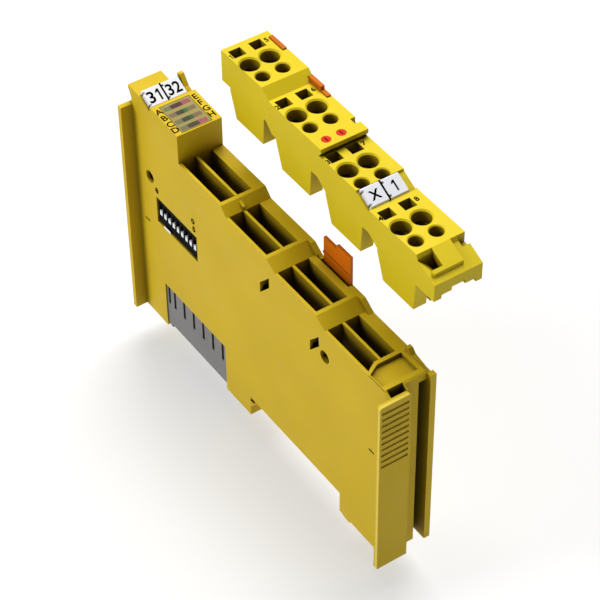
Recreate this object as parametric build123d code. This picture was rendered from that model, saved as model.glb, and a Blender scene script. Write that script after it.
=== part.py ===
"""Safety input module with its plug-in connector lifted off and set down one pitch to the side.

Millimetres. Every size is measured across from the near side face (x), along from the
grip end (y) and up from the top of the mounting rail (z). At the end all pieces are
shifted together, so that the origin lies in the middle of the rail mount.
"""
from build123d import *
import math
import os

# The module's outer sizes
WIDTH = 11.6
COVER = 1.2
SHELL = WIDTH - COVER
LENGTH = 100.0
BOTTOM = -5.8
SIDE_WALL = 0.7
SKIN = 1.0
CLEAR = 0.1

# The mounting rail that the recess is made for
RAIL_WIDTH = 35.0
RAIL_MIDDLE = 35.83
RAIL_LIP = 1.0
RAIL_CLEAR = 0.12

# Flanges at both ends
FLANGE_OUT = 3.0
PLATE = 1.3
REAR_FLANGE_TOP = 55.45
GRIP_TOP = 44.0
GRIP_RIGHT = 4.8
PANEL_FACE = 2.5
GROOVE_LEFT = 8.4
GROOVE_FLOOR = 5.2
FAR_FLANGE_OUT = 0.3
FAR_FLANGE_TOP = 44.2
FAR_FLANGE_FACE = 1.2
FLANGE_CORNER = 0.8
GRIP_RIBS = 10
GRIP_RIB_PITCH = 1.75
GRIP_RIB_CUT = 0.35
GRIP_RIB_FIRST = 42.6
GRIP_MARGIN = 0.5

# Decks: four levels that step down towards the grip end
LEVELS = 4
HEAD_LENGTH = 20.25
HEAD_FRONT = LENGTH - HEAD_LENGTH
DECK_TOP = 51.1
DECK_STEP = 2.05
DECK_LENGTH = 16.95
DECK_END = HEAD_FRONT - DECK_LENGTH
LAST_DECK_END = 8.5
FIRST_PITCH = 17.6
NEXT_PITCH = (DECK_END - FIRST_PITCH - LAST_DECK_END) / (LEVELS - 2)
FIRST_RISER = 2.1
NEXT_RISER = 3.1
FIN_RUN = 1.3
LEDGE_TOP = 44.9
BAR_BACK = 4.2
BAR_FRONT = 3.0
END_FIN_HEIGHT = 1.1
END_FIN = (7.9, 10.2)

# Pockets: two side by side in each deck
POCKET_LEFT = (SIDE_WALL, 4.35)
POCKET_RIGHT = (5.0, 8.6)
POCKET_DEPTH = 9.3
POCKET_FRONT_WALL = 1.0
LAST_POCKET_END = 10.9
SLANT_ACROSS = 3.3
SLANT_ALONG = 1.6
RISER_RIB = 0.6

# Ledge with its catch hole behind the grip plate
LEDGE_FLOOR = 43.9
LEDGE_BACK = 9.9
LEDGE_FAR = 9.3
LEDGE_NEAR = 0.45
CATCH_HOLE = (0.6, 4.5)
CATCH_HOLE_DEPTH = 6.0

# Head
HEAD_FRONT_TOP = 58.8
HEAD_REAR_TOP = 60.1
HEAD_REAR_LOW = 59.2
NECK_DEPTH = 1.1
NECK = LENGTH - NECK_DEPTH
NECK_LOW = 56.2
NECK_HIGH = 57.1
HEAD_ROOF = 2.5
HEAD_STRIP = 8.6
HEAD_LOW_LENGTH = 3.8
HEAD_LOW_Y = LENGTH - HEAD_LOW_LENGTH
HEAD_LOW_TOP = 57.0

# Marker tags
TAG_WIDTH = 4.5
TAG_LENGTH = 4.7
TAG_THICK = 1.1
TAG_GAP = 0.35
TAG_NOTCH = 0.5
HEAD_TAG_X = 0.5
HEAD_TAG_BACK = 9.1
HEAD_TAG_FRONT = (LENGTH - HEAD_TAG_BACK, 59.1)
HEAD_TAG_TILT = 27.0
BRACKET_BACK = 7.6
BRACKET_FOOT = LENGTH - BRACKET_BACK
BRACKET_RUN = 2.6
BRACKET_TOP_LENGTH = 0.9
BRACKET_TOP = 61.4

# Window with its eight fields
WINDOW_X = (1.7, 9.4)
WINDOW_MARGIN = 0.45
WINDOW_LENGTH = 9.5
WINDOW_Y = (HEAD_FRONT + WINDOW_MARGIN, HEAD_FRONT + WINDOW_MARGIN + WINDOW_LENGTH)
WINDOW_THICK = 1.0
LENS_PLACES = (8.65, 6.25, 3.75, 1.45)
LENS_ROWS = tuple(HEAD_FRONT + place for place in LENS_PLACES)
LENS_COLUMNS = ((2.1, 5.3), (5.6, 8.8))
LENS_ALONG = 1.35
LENS_NAMES = "abcdefgh"
LAMP = 1.4
LAMP_HEIGHT = 0.8
LAMP_BOARD = 0.8

# Address switch in the near side
SWITCH_BACK = 9.3
SWITCH_LENGTH = 17.0
SWITCH_Y = (LENGTH - SWITCH_BACK - SWITCH_LENGTH, LENGTH - SWITCH_BACK)
SWITCH_Z = (26.4, 33.8)
SWITCH_FACE = 0.35
SLIDERS = 9
SLIDER_PITCH = 1.79
SLIDER_MARGIN = 1.3
SLIDER_FIRST = SWITCH_Y[1] - SLIDER_MARGIN
SLIDER_RISE = 2.5
SLIDER_LOW = SWITCH_Z[0] + SLIDER_RISE
SLIDER_KNOB = 1.3
SLIDER_TRAVEL = 1.8
SLOT_WIDTH = 1.05
SLOT_DEPTH = 0.9
CHANNEL_WIDTH = 1.4
CHANNEL_DEPTH = 0.7
SLIDER_CLEAR = 0.08

# Holes and slots in the near side
HOLE_RADIUS = 1.6
HOLE_DEPTH = 2.4
HOLE_BACK = 7.05
HOLES = ((LENGTH - HOLE_BACK, 38.2), (23.8, 37.4))
SIDE_SLOT_WIDTH = 3.6
SIDE_SLOT_RISE = 3.9
SIDE_SLOT_HEIGHT = 2.9
SIDE_SLOT_BACK = 14.75
SIDE_SLOT_CORNER = (DECK_END - SIDE_SLOT_BACK, 37.2)
SIDE_SLOT_PITCH_EXTRA = 0.5
SIDE_SLOT_PITCH = NEXT_PITCH + SIDE_SLOT_PITCH_EXTRA
SIDE_CONTACT = 1.2

# Grey bus block in the notch of the near side
NOTCH_BACK = 10.7
NOTCH_LENGTH = 25.8
NOTCH_Y = (LENGTH - NOTCH_BACK - NOTCH_LENGTH, LENGTH - NOTCH_BACK)
NOTCH_TOP = 7.8
BUS_FACE = 0.3
BUS_DEEP = 6.6
BUS_TOP = 10.2
BUS_BOTTOM = -4.5
BUS_SLOTS = 6
BUS_SLOT_PITCH = 4.1
BUS_SLOT_MARGIN = 3.6
BUS_SLOT_FIRST = NOTCH_Y[1] - BUS_SLOT_MARGIN
BUS_SLOT_WIDTH = 0.9
BUS_SLOT_LOW = 2.0
BUS_SLOT_HIGH = 8.6
BUS_SLOT_DEPTH = 4.0
BUS_FOOT_MARGIN = 1.4
BUS_FOOT = NOTCH_Y[1] - BUS_FOOT_MARGIN
BUS_FOOT_WIDTH = 1.0
BUS_FOOT_DROP = 0.8
BUS_EDGE_MARGIN = 1.2
BUS_EDGE_SLOT = NOTCH_Y[1] - BUS_EDGE_MARGIN
CONTACT_THICK = 0.4

# Circuit board and what stands on it
BOARD_X = (7.0, 8.6)
BOARD_BACK = 3.2
BOARD_Y = (20.5, LENGTH - BOARD_BACK)
BOARD_Z = (2.6, 33.4)
BOARD_HEAD_GAP = 1.85
BOARD_HEAD_Y = (HEAD_FRONT + BOARD_HEAD_GAP, BOARD_Y[1])
REAR_PART_BACK = 4.8
REAR_PART = (BOARD_Y[1] - REAR_PART_BACK, 18.0, 6.0, 2.2)
PARTS_SIZE = ((55.0, 22.0, 14.0, 1.4), (40.0, 16.0, 10.0, 1.2), (28.0, 20.0, 6.0, 2.6), REAR_PART)

# Release tab and the rail latch that it draws back
TAB_Y = (30.4, 40.1)
TAB_STEP = 35.4
TAB_LOW_TOP = 53.4
TAB_HIGH_TOP = 54.5
TAB_X = (11.1, 11.8)
TAB_SLOT_GAP = 0.3
TAB_SLOT_LONG = 1.4
TAB_JOG = (42.2, 43.8)
TAB_RIB_DROP = 4.9
TAB_RIB = TAB_HIGH_TOP - TAB_RIB_DROP
TAB_RIB_SIZE = 0.5
STRIP_X = (9.3, 10.2)
STRIP_Y = (31.0, 39.0)
NOSE_Y = (13.9, 18.2)
NOSE_DROP = 0.6
LATCH_X = (1.4, 6.6)
LATCH_TIP = 19.6
LATCH_BACK = 13.9
LATCH_TOP = -1.25
LATCH_BOTTOM = -6.3
LATCH_NOSE = 1.4
LATCH_ARM = 1.4
LATCH_ARM_TOP = 3.3
LATCH_TRAVEL = 1.6
ROD_Z = (1.3, 3.3)
WEDGE = 33.5
HOOK_REACH = 1.2
HOOK_THICK = 1.4

# Connector, described in its plugged-in place
PLUG_WIDTH = 11.93
PLUG_GAP = 0.12
PLUG_RISE = 8.1
PLUG_REAR_GAP = 0.15
PLUG_REAR = HEAD_FRONT - PLUG_REAR_GAP
PLUG_FRONT = 3.3
LEVEL_END_SHIFT = (1.2, -2.9, 2.35, 0.9)
DECK_ENDS = (DECK_END, DECK_END - FIRST_PITCH, LAST_DECK_END + NEXT_PITCH, LAST_DECK_END)
PLUG_LEVEL_END = tuple(end + shift for end, shift in zip(DECK_ENDS, LEVEL_END_SHIFT))
LEVEL_START_SHIFT = (2.5, 0.0, 4.0)
PLUG_LEVEL_START = tuple(end - shift for end, shift in zip(PLUG_LEVEL_END, LEVEL_START_SHIFT))
LIP_OVERHANG = 0.8
LIP_THICK = 1.1
FOOT_DEPTH = 8.6
FOOT_GAP = 0.2
FOOT_REAR_GAP = 1.85
FOOT_REAR_TAPER = 2.2
FOOT_REAR_TOP = HEAD_FRONT - FOOT_REAR_GAP
FOOT_REAR_LOW = FOOT_REAR_TOP - FOOT_REAR_TAPER
FOOT_FRONT_GAP = 1.9
FOOT_FRONT_TAPER = 0.6
FOOT_FRONT_TOP = DECK_END + FOOT_FRONT_GAP
FOOT_FRONT_LOW = FOOT_FRONT_TOP + FOOT_FRONT_TAPER
HOLE_COLUMNS = (2.35, 7.45)
WIRE_HOLE_BACK = 7.75
WIRE_HOLE_Y = HEAD_FRONT - WIRE_HOLE_BACK
WIRE_HOLE_RADIUS = 2.2
WIRE_HOLE_CHAMFER = 0.35
TEST_HOLE_SHIFT = -4.9
TEST_HOLE_RADIUS = 1.62
TEST_HOLE_CHAMFER = 0.25
TOOL_SHIFT = 4.8
TOOL_HOLE = (3.0, 2.8)
HOLE_FLOOR = 3.0
TEST_HOLE_DEPTH = 6.0
CHAMBER_HALF = 1.55
CHAMBER_FLOOR = 1.0
BLADE_SLOT = (1.2, 5.4)
KEY_BACK = 2.2
KEY_Y = PLUG_LEVEL_END[1] + KEY_BACK
KEY_X = (2.85, 6.65)
KEY_RADIUS = 1.05
KEY_DEPTH = 1.6
KEY_CLEAR = 0.05
KEY_SLOT = (0.35, 1.3)
EDGE_NOTCH_BACK = 0.7
EDGE_NOTCH_LENGTH = 1.8
EDGE_NOTCH_Y = (KEY_Y + EDGE_NOTCH_BACK, KEY_Y + EDGE_NOTCH_BACK + EDGE_NOTCH_LENGTH)
EDGE_NOTCH = 1.3

# The connector's end with its strap
END_SLOPE_TOP = (8.9, 52.0)
END_SLOPE_LOW = (3.3, 49.4)
STRAP_X = (0.9, 8.2)
STRAP_THICK = 0.95
STRAP_FRONT = 4.7
STRAP_OPENING_X = 3.6
STRAP_OPENING_Y = (5.5, 9.0)
CHUTE_FAR = 7.2
CHUTE_NEAR = 51.8
CHUTE_DEEP = 48.4
END_NOTCH_X = (10.0, PLUG_WIDTH)
END_NOTCH_Y = (7.6, 9.4)
END_NOTCH_FLOOR = 50.5
END_CUT_WIDE = (1.85, 10.4)
END_CUT_DEEP = (4.4, 7.7)
END_CUT_STEP = 0.95
END_CUT_LENGTH = 1.5

# Orange strip at the connector's far side
PLUG_STRIP_X = (10.8, 11.8)
PLUG_STRIP_BACK = 2.35
PLUG_STRIP_FRONT = 6.0
PLUG_STRIP_Y = (PLUG_LEVEL_START[0] - PLUG_STRIP_FRONT, HEAD_FRONT - PLUG_STRIP_BACK)
PLUG_STRIP_LOW_LENGTH = 7.1
PLUG_STRIP_LOW_PART = PLUG_STRIP_Y[0] + PLUG_STRIP_LOW_LENGTH
PLUG_STRIP_HIGH_LENGTH = 5.4
PLUG_STRIP_HIGH_PART = PLUG_STRIP_Y[1] - PLUG_STRIP_HIGH_LENGTH
PLUG_STRIP_BRIDGE = 2.6
PLUG_STRIP_LOW = 54.0
PLUG_STRIP_STEP_MARGIN = (2.4, 0.3)
PLUG_STRIP_STEP = (
    PLUG_STRIP_Y[0] + PLUG_STRIP_STEP_MARGIN[0],
    PLUG_STRIP_LOW_PART - PLUG_STRIP_STEP_MARGIN[1],
)
PLUG_STRIP_RAISE = 1.3
PLUG_STRIP_SHOW = 0.35
PLUG_STRIP_TRAVEL = 1.5

# Marker tags on the connector
PLUG_TAG_X = 0.6
PLUG_TAG_FRONT = (PLUG_LEVEL_START[2], 53.55)
PLUG_TAG_TILT = 27.0

# Blades in the pockets, bars and springs in the connector
BLADE = (0.6, 4.0, 3.0)
BAR_THICK = 0.5
BAR_LENGTH = 8.4
SPRING_THICK = 0.25
SPRING_WIDTH = 2.4

# Where the connector rests in the picture, seen from its plugged-in place
LIFT = (12.0, 0.0, 17.8)


def span(low, high):
    return (low, high)


def block(x, y, z):
    """A box between the low and high values along each axis."""
    middle = Pos((x[0] + x[1]) / 2, (y[0] + y[1]) / 2, (z[0] + z[1]) / 2)
    return middle * Box(x[1] - x[0], y[1] - y[0], z[1] - z[0])


def profile(x, outline):
    """An outline of (y, z) points drawn out across the module."""
    face = make_face(Polyline(*outline, close=True))
    return extrude(Plane.YZ.offset(x[0]) * face, amount=x[1] - x[0], dir=(1, 0, 0))


def plan(z, outline):
    """An outline of (x, y) points drawn upwards."""
    face = make_face(Polyline(*outline, close=True))
    return extrude(Plane.XY.offset(z[0]) * face, amount=z[1] - z[0], dir=(0, 0, 1))


def along(y, outline):
    """An outline of (x, z) points drawn out along the module."""
    start = Plane(origin=(0, y[0], 0), x_dir=(1, 0, 0), z_dir=(0, -1, 0))
    face = make_face(Polyline(*outline, close=True))
    return extrude(start * face, amount=y[1] - y[0], dir=(0, 1, 0))


def drill(x, y, z, radius, depth):
    """A round hole downwards from a top face."""
    return Pos(x, y, z - depth / 2) * Cylinder(radius, depth)


def side_drill(y, z, radius, depth):
    """A round hole into the near side face."""
    return Pos(depth / 2, y, z) * Rot(0, 90, 0) * Cylinder(radius, depth)


def level_shift(level):
    """How far a level lies from the first one, towards the grip end."""
    if level == 0:
        return 0.0
    return FIRST_PITCH + (level - 1) * NEXT_PITCH


def deck_z(level):
    return DECK_TOP - level * DECK_STEP


def deck_end(level):
    return DECK_END - level_shift(level)


def riser_run(level):
    return FIRST_RISER if level == 0 else NEXT_RISER


def deck_start(level):
    if level == 0:
        return HEAD_FRONT
    return deck_end(level - 1) - riser_run(level - 1)


def head_z(y):
    """Height of the head's sloping top."""
    share = (y - HEAD_FRONT) / (LENGTH - HEAD_FRONT)
    return HEAD_FRONT_TOP + share * (HEAD_REAR_TOP - HEAD_FRONT_TOP)


def deck_outline(fin):
    """The stepped top edge from the head to the last deck; fin delays the lower risers."""
    points = [(HEAD_FRONT, head_z(HEAD_FRONT)), (HEAD_FRONT, deck_z(0))]
    for level in range(LEVELS - 1):
        delay = fin if level > 0 else 0.0
        points.append((deck_end(level) - delay, deck_z(level)))
        points.append((deck_start(level + 1) - delay, deck_z(level + 1)))
    return points


def rear_outline():
    """The end below the head, from the bottom up to the rear top edge."""
    return [
        (LENGTH, BOTTOM),
        (LENGTH, REAR_FLANGE_TOP),
        (NECK, NECK_LOW),
        (NECK, NECK_HIGH),
        (LENGTH, HEAD_REAR_LOW),
        (LENGTH, head_z(LENGTH)),
    ]


def low_corner(x):
    """Free room where the head is lower, behind the tags at the far side."""
    return block(x, span(HEAD_LOW_Y, LENGTH), span(HEAD_LOW_TOP, HEAD_REAR_TOP))


def rail_recess(x):
    """Room for the rail, open at the bottom."""
    half = RAIL_WIDTH / 2 + RAIL_CLEAR
    return block(x, span(RAIL_MIDDLE - half, RAIL_MIDDLE + half), span(BOTTOM - SKIN, 0.0))


def tag_seat(x, front, tilt, extra):
    """The slanted bed that a pair of tags lies on, with free room above it."""
    angle = math.radians(tilt)
    along_y = math.cos(angle)
    along_z = math.sin(angle)
    reach = TAG_LENGTH + extra
    low = (front[0] + TAG_THICK * along_z, front[1] - TAG_THICK * along_y)
    high = (low[0] + reach * along_y, low[1] + reach * along_z)
    above = high[1] + TAG_LENGTH
    return profile(x, [low, high, (high[0], above), (front[0] - extra, above), (front[0] - extra, front[1])])


def marker_tag(x, front, tilt):
    """One tag; front is the upper corner of its lower edge."""
    plate = block(span(0.0, TAG_WIDTH), span(0.0, TAG_LENGTH), span(-TAG_THICK, 0.0))
    plate = chamfer(plate.edges().filter_by(Axis.X).group_by(Axis.Z)[-1], TAG_THICK / 4)
    notch = block(span(0.0, TAG_NOTCH), span(TAG_NOTCH, 2 * TAG_NOTCH), span(-TAG_THICK, 0.0))
    other = Pos(0, TAG_LENGTH - 3 * TAG_NOTCH, 0) * notch
    return Pos(x, front[0], front[1]) * Rot(tilt, 0, 0) * (plate - notch - other)


def pocket(level, x):
    low = deck_z(level) - POCKET_DEPTH
    end = deck_end(level) + POCKET_FRONT_WALL
    if level == LEVELS - 1:
        end = LAST_POCKET_END
    return block(x, span(end, deck_start(level)), span(low, deck_z(level) + SKIN))


def last_pocket_corner():
    """The near pocket of the last deck runs on along a slant towards the side wall."""
    level = LEVELS - 1
    low = deck_z(level) - POCKET_DEPTH
    near = POCKET_LEFT[0]
    outline = [
        (near, LAST_POCKET_END - SLANT_ALONG),
        (SLANT_ACROSS, LAST_POCKET_END),
        (near, LAST_POCKET_END),
    ]
    return plan(span(low, deck_z(level) + SKIN), outline)


def cavity_outline():
    """The hollow for the electronics, stepped below the pocket floors."""
    half = RAIL_WIDTH / 2 + RAIL_CLEAR
    points = [
        (NECK - SKIN, BOTTOM + SKIN),
        (NECK - SKIN, head_z(HEAD_FRONT) - HEAD_ROOF),
        (HEAD_FRONT + SKIN, head_z(HEAD_FRONT) - HEAD_ROOF),
    ]
    back = HEAD_FRONT + SKIN
    for level in range(LEVELS):
        roof = deck_z(level) - POCKET_DEPTH - SKIN
        points.append((back, roof))
        back = deck_start(level + 1) + SKIN if level < LEVELS - 1 else GROOVE_FLOOR + SKIN
        points.append((back, roof))
    points.append((GROOVE_FLOOR + SKIN, BOTTOM + SKIN))
    points.append((RAIL_MIDDLE - half - SKIN, BOTTOM + SKIN))
    points.append((RAIL_MIDDLE - half - SKIN, SKIN))
    points.append((RAIL_MIDDLE + half + SKIN, SKIN))
    points.append((RAIL_MIDDLE + half + SKIN, BOTTOM + SKIN))
    return points


def side_slot(number, depth):
    """A slanted slot in the near side face."""
    y = SIDE_SLOT_CORNER[0] - number * SIDE_SLOT_PITCH
    z = SIDE_SLOT_CORNER[1] - number * DECK_STEP
    front = y - SIDE_SLOT_WIDTH
    outline = [
        (y, z),
        (y, z + SIDE_SLOT_HEIGHT),
        (front, z + SIDE_SLOT_RISE + SIDE_SLOT_HEIGHT),
        (front, z + SIDE_SLOT_RISE),
    ]
    return profile(span(0.0, depth), outline)


def latch_room():
    """Opening in the bottom and in the recess wall where the rail latch moves."""
    low = LATCH_BACK - LATCH_TRAVEL - 2 * CLEAR
    side = span(LATCH_X[0] - 2 * CLEAR, LATCH_X[1] + 2 * CLEAR)
    edge = RAIL_MIDDLE - RAIL_WIDTH / 2
    return block(side, span(low, edge), span(BOTTOM - SKIN, LATCH_TOP + 2 * CLEAR))


def arm_room():
    """Opening in the bottom skin for the latch's upright arm."""
    side = span(LATCH_X[0] - 2 * CLEAR, LATCH_X[1] + 2 * CLEAR)
    low = LATCH_BACK - LATCH_TRAVEL - 2 * CLEAR
    return block(side, span(low, LATCH_BACK + LATCH_ARM + 2 * CLEAR), span(BOTTOM - SKIN, LATCH_ARM_TOP))


def tab_channel():
    """The groove in the far rim in which the release strip runs."""
    along_y = span(TAB_Y[0] - TAB_SLOT_GAP, TAB_Y[1] + TAB_SLOT_LONG)
    return block(span(STRIP_X[0] - CLEAR, SHELL), along_y, span(SKIN, TAB_JOG[1] + LATCH_TRAVEL + 2 * CLEAR))


def make_housing():
    outline = rear_outline() + deck_outline(0.0)
    outline.append((deck_end(LEVELS - 1), deck_z(LEVELS - 1)))
    outline.append((BAR_FRONT, LEDGE_TOP))
    outline.append((PLATE, GRIP_TOP))
    outline.append((PLATE, BOTTOM))
    body = profile(span(0.0, SHELL), outline)
    full = span(BOTTOM - SKIN, HEAD_REAR_TOP)

    # The grip end: plate, panel and groove
    body -= block(span(GRIP_RIGHT, SHELL), span(0.0, PANEL_FACE), full)
    groove_z = span(BOTTOM - SKIN, LEDGE_TOP - 2 * SKIN)
    body -= block(span(GROOVE_LEFT, SHELL), span(0.0, GROOVE_FLOOR), groove_z)
    grip = block(span(-FLANGE_OUT, GRIP_RIGHT), span(0.0, PLATE), span(BOTTOM, GRIP_TOP))
    grip = chamfer(grip.edges().filter_by(Axis.Y).group_by(Axis.Z)[-1], FLANGE_CORNER / 2)
    for rib in range(GRIP_RIBS):
        z = GRIP_RIB_FIRST - rib * GRIP_RIB_PITCH
        across = span(-FLANGE_OUT + GRIP_MARGIN, GRIP_RIGHT - GRIP_MARGIN)
        grip -= block(across, span(0.0, GRIP_RIB_CUT), span(z - GRIP_RIB_PITCH / 2, z))
    body += grip
    body += block(span(-FLANGE_OUT, 0.0), span(LENGTH - PLATE, LENGTH), span(BOTTOM, REAR_FLANGE_TOP))

    # The hollow, open towards the cover
    body -= profile(span(SIDE_WALL, SHELL), cavity_outline())

    # Pockets and the ribs on the risers between them
    for level in range(LEVELS):
        body -= pocket(level, POCKET_LEFT)
        body -= pocket(level, POCKET_RIGHT)
    body -= last_pocket_corner()
    rib_x = span(POCKET_LEFT[1], POCKET_LEFT[1] + RISER_RIB)
    rib_back = deck_end(0) + POCKET_FRONT_WALL
    rib_outline = [
        (rib_back, deck_z(0)),
        (rib_back, deck_z(1)),
        (deck_start(1), deck_z(1)),
        (deck_start(1), deck_z(0) - DECK_STEP / 2),
    ]
    body += profile(rib_x, rib_outline)

    # The ledge and the catch hole
    ledge = [
        (LEDGE_NEAR, BAR_BACK),
        (LEDGE_FAR, BAR_BACK),
        (LEDGE_FAR, LEDGE_BACK),
        (SLANT_ACROSS, LEDGE_BACK),
        (LEDGE_NEAR, LEDGE_BACK - SLANT_ALONG),
    ]
    body -= plan(span(LEDGE_FLOOR, LEDGE_TOP + SKIN), ledge)
    body -= block(CATCH_HOLE, span(PLATE, BAR_FRONT), span(LEDGE_TOP - CATCH_HOLE_DEPTH, LEDGE_TOP + SKIN))

    # The head: window opening, tag seat
    window = block(WINDOW_X, WINDOW_Y, span(HEAD_FRONT_TOP - HEAD_ROOF - SKIN, HEAD_REAR_TOP))
    body -= window
    body -= tag_seat(span(0.0, SHELL), HEAD_TAG_FRONT, HEAD_TAG_TILT, 2 * CLEAR)
    body -= low_corner(span(HEAD_STRIP, SHELL))

    # The near side: switch window, holes, slots and the notch for the bus block
    body -= block(span(0.0, SIDE_WALL), SWITCH_Y, SWITCH_Z)
    for y, z in HOLES:
        body -= side_drill(y, z, HOLE_RADIUS, HOLE_DEPTH)
    for number in range(2):
        body -= side_slot(number, HOLE_DEPTH)
    body -= block(span(0.0, SIDE_WALL), NOTCH_Y, span(BOTTOM, NOTCH_TOP))
    body -= block(span(0.0, SHELL), NOTCH_Y, span(BOTTOM, BOTTOM + SKIN))

    # The rail recess with its fixed hook, and the room for the latch
    body -= rail_recess(span(0.0, SHELL))
    edge = RAIL_MIDDLE + RAIL_WIDTH / 2 + RAIL_CLEAR
    under_lip = -RAIL_LIP - 2 * RAIL_CLEAR
    hook = [
        (edge, under_lip),
        (edge - HOOK_REACH, under_lip),
        (edge - HOOK_REACH / 2, under_lip - HOOK_THICK),
        (edge, under_lip - HOOK_THICK),
    ]
    body += profile(span(0.0, SHELL), hook)
    nose = [
        (NOSE_Y[0], BOTTOM),
        (NOSE_Y[0] + NOSE_DROP, BOTTOM - NOSE_DROP),
        (NOSE_Y[1] - 4 * NOSE_DROP, BOTTOM - NOSE_DROP),
        (NOSE_Y[1] - NOSE_DROP, BOTTOM),
        (NOSE_Y[1], BOTTOM + 2 * NOSE_DROP),
        (NOSE_Y[0], BOTTOM + 2 * NOSE_DROP),
    ]
    body += profile(span(0.0, SIDE_WALL), nose)
    body -= latch_room()
    body -= arm_room()
    body -= tab_channel()
    return body


def make_cover():
    """The cover that closes the far side."""
    outline = rear_outline() + deck_outline(FIN_RUN)
    last = deck_z(LEVELS - 1)
    outline.append((END_FIN[1], last))
    outline.append((END_FIN[1] - END_FIN_HEIGHT / 4, last + END_FIN_HEIGHT))
    outline.append((END_FIN[0] + END_FIN_HEIGHT, last + END_FIN_HEIGHT))
    outline.append((END_FIN[0], last))
    outline.append((BAR_BACK, FAR_FLANGE_TOP))
    outline.append((FAR_FLANGE_FACE, FAR_FLANGE_TOP))
    outline.append((FAR_FLANGE_FACE, BOTTOM))
    cover = profile(span(SHELL, WIDTH), outline)
    along_y = span(TAB_Y[0] - TAB_SLOT_GAP, TAB_Y[1] + TAB_SLOT_GAP)
    cover -= block(span(SHELL, WIDTH), along_y, span(TAB_JOG[0] - SKIN, DECK_TOP))
    slit = span(TAB_Y[1], TAB_Y[1] + TAB_SLOT_LONG)
    cover -= block(span(SHELL, SHELL + TAB_SLOT_GAP), slit, span(TAB_JOG[1], DECK_TOP))
    cover -= rail_recess(span(SHELL, WIDTH))
    cover -= tag_seat(span(SHELL, WIDTH), HEAD_TAG_FRONT, HEAD_TAG_TILT, 2 * CLEAR)
    cover -= low_corner(span(SHELL, WIDTH))
    top = BRACKET_FOOT + BRACKET_RUN
    bracket = [
        (BRACKET_FOOT, HEAD_LOW_TOP),
        (BRACKET_FOOT, HEAD_LOW_TOP + SKIN),
        (top, BRACKET_TOP),
        (top + BRACKET_TOP_LENGTH, BRACKET_TOP),
        (HEAD_LOW_Y, HEAD_LOW_TOP),
    ]
    cover += profile(span(SHELL, WIDTH), bracket)
    side = block(span(SHELL, WIDTH + FAR_FLANGE_OUT), span(FAR_FLANGE_FACE, FAR_FLANGE_FACE + PLATE),
                 span(BOTTOM, FAR_FLANGE_TOP + FLANGE_CORNER / 2))
    return cover + side


def make_window():
    """The window plate, with an opening for each field."""
    low = -WINDOW_THICK
    gap = CLEAR / 2
    front = WINDOW_Y[0] + gap
    back = WINDOW_Y[1] - gap
    corners = [(front, 0.0), (back, 0.0), (back, low), (front, low)]
    outline = [(y, head_z(y) + z) for y, z in corners]
    plate = profile(span(WINDOW_X[0] + gap, WINDOW_X[1] - gap), outline)
    for column in LENS_COLUMNS:
        for row in LENS_ROWS:
            plate -= lens(row, column)
    return plate


def lens(row, column):
    low = row - LENS_ALONG / 2
    high = row + LENS_ALONG / 2
    outline = [
        (low, head_z(low)),
        (high, head_z(high)),
        (high, head_z(high) - WINDOW_THICK),
        (low, head_z(low) - WINDOW_THICK),
    ]
    return profile(column, outline)


def lamp_board_top():
    return head_z(LENS_ROWS[-1] - LENS_ALONG) - WINDOW_THICK - LAMP_HEIGHT


def make_lamps():
    """Small board below the window with one lamp for each field."""
    top = lamp_board_top()
    along_y = span(WINDOW_Y[0] + 2 * SKIN / 3, WINDOW_Y[1])
    lamps = block(WINDOW_X, along_y, span(top - LAMP_BOARD, top))
    for column in LENS_COLUMNS:
        middle = (column[0] + column[1]) / 2
        for row in LENS_ROWS:
            along_x = span(middle - LAMP / 2, middle + LAMP / 2)
            lamp_y = span(row - LENS_ALONG / 2, row + LENS_ALONG / 2)
            lamps += block(along_x, lamp_y, span(top, top + LAMP_HEIGHT))
    return lamps


def slider_y(number):
    return SLIDER_FIRST - number * SLIDER_PITCH


def slider_room(number):
    """Slot and wider channel behind it for one slider."""
    y = slider_y(number)
    high = SLIDER_LOW + SLIDER_KNOB + SLIDER_TRAVEL
    slot_x = span(SWITCH_FACE, SWITCH_FACE + SLOT_DEPTH)
    slot = block(slot_x, span(y - SLOT_WIDTH / 2, y + SLOT_WIDTH / 2), span(SLIDER_LOW - CLEAR, high + CLEAR))
    back_x = span(SWITCH_FACE + SLOT_DEPTH, SWITCH_FACE + SLOT_DEPTH + CHANNEL_DEPTH)
    half = CHANNEL_WIDTH / 2
    back = block(back_x, span(y - half, y + half), span(SLIDER_LOW - 2 * CLEAR, high + 2 * CLEAR))
    return slot + back


def make_switch():
    body = block(span(SIDE_WALL, BOARD_X[0]), span(SWITCH_Y[0] + CLEAR, SWITCH_Y[1] - CLEAR),
                 span(SWITCH_Z[0] + CLEAR, SWITCH_Z[1] - CLEAR))
    body += block(span(SWITCH_FACE, SIDE_WALL), span(SWITCH_Y[0] + 2 * CLEAR, SWITCH_Y[1] - 2 * CLEAR),
                  span(SWITCH_Z[0] + 2 * CLEAR, SWITCH_Z[1] - 2 * CLEAR))
    for number in range(SLIDERS):
        body -= slider_room(number)
    return body


def make_slider(number):
    y = slider_y(number)
    half = SLOT_WIDTH / 2 - SLIDER_CLEAR
    wide = CHANNEL_WIDTH / 2 - SLIDER_CLEAR
    back = SWITCH_FACE + SLOT_DEPTH + SLIDER_CLEAR
    z = span(SLIDER_LOW, SLIDER_LOW + SLIDER_KNOB)
    knob = block(span(SWITCH_FACE - CLEAR, back), span(y - half, y + half), z)
    foot = block(span(back, back + CHANNEL_DEPTH - 2 * SLIDER_CLEAR), span(y - wide, y + wide), z)
    return knob + foot


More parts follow.
